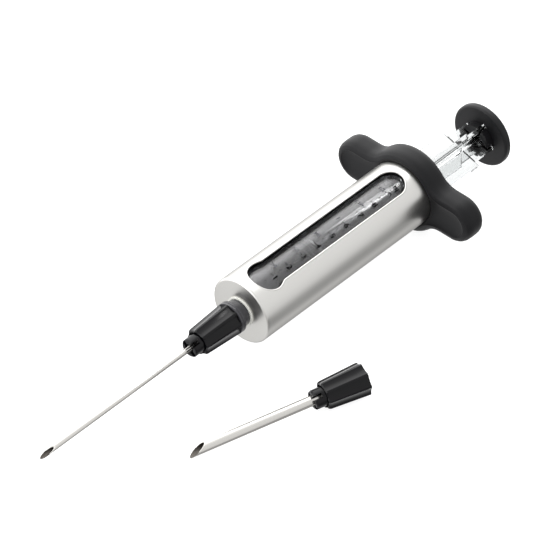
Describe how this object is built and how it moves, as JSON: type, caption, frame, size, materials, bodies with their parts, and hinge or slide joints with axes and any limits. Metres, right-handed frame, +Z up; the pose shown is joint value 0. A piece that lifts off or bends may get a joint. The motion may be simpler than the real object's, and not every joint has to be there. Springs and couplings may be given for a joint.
{
  "type": "meat injector",
  "caption": "Hand syringe with a steel sleeve, windowed graduated barrel, winged finger grip, sliding plunger and screw-on needle, with a wider spare needle beside it.",
  "frame": {"origin": "under the middle of the whole set's box, on the surface it lies on", "axes": "+X along the syringe's axis from the needle point to the thumb disc, +Z up, wings along Y"},
  "size_m": [0.291, 0.1068, 0.0418],
  "materials": {
    "brushed_steel": "satin brushed",
    "needle_steel": "drawn and polished",
    "clear_plastic": "clear moulded",
    "black_liner": "moulded",
    "hard_black": "moulded",
    "soft_black": "soft-touch",
    "satin_black": "satin",
    "gloss_black": "gloss moulded",
    "black_rubber": "moulded",
    "silicone": "translucent",
    "scale_ink": "printed"
  },
  "bodies": {
    "root": {"steel_sleeve": "brushed_steel", "barrel_liner": "black_liner", "barrel": "clear_plastic", "scale_marks": "scale_ink", "grip_core": "hard_black", "grip_skin": "soft_black", "rear_cap": "hard_black", "nozzle_collar": "clear_plastic", "nozzle_washer": "silicone"},
    "piston": {"piston_core": "hard_black", "piston_seal": "black_rubber"},
    "plunger": {"plunger_rod": "clear_plastic", "thumb_disc": "satin_black"},
    "needle_seat": {"needle_gasket": "silicone"},
    "needle": {"needle_hub": "gloss_black", "needle_tube": "needle_steel"},
    "spare_needle": {"spare_hub": "gloss_black", "spare_tube": "needle_steel", "spare_gasket": "silicone"}
  },
  "joints": [
    {"name": "plunger_slide", "type": "slide", "parent": "root", "child": "piston", "axis": [1, 0, 0], "range_m": [-0.0278, 0.0587]},
    {"name": "plunger_turn", "type": "hinge", "parent": "piston", "child": "plunger", "pos_m": [0.02015, 0.0132, 0.0209], "axis": [1, 0, 0], "continuous": true},
    {"name": "needle_draw", "type": "slide", "parent": "root", "child": "needle_seat", "axis": [-1, 0, 0], "range_m": [0, 0.00901]},
    {"name": "needle_turn", "type": "hinge", "parent": "needle_seat", "child": "needle", "pos_m": [-0.03275, 0.0132, 0.0209], "axis": [-1, 0, 0], "range_deg": [0, 540]},
    {"name": "spare_lift", "type": "slide", "parent": "root", "child": "spare_needle", "axis": [0, 0, 1], "range_m": [0, 0.08]}
  ],
  "couplings": [
    {"joint": "needle_draw", "follows": "needle_turn", "m_per_rad": 0.00095493}
  ]
}
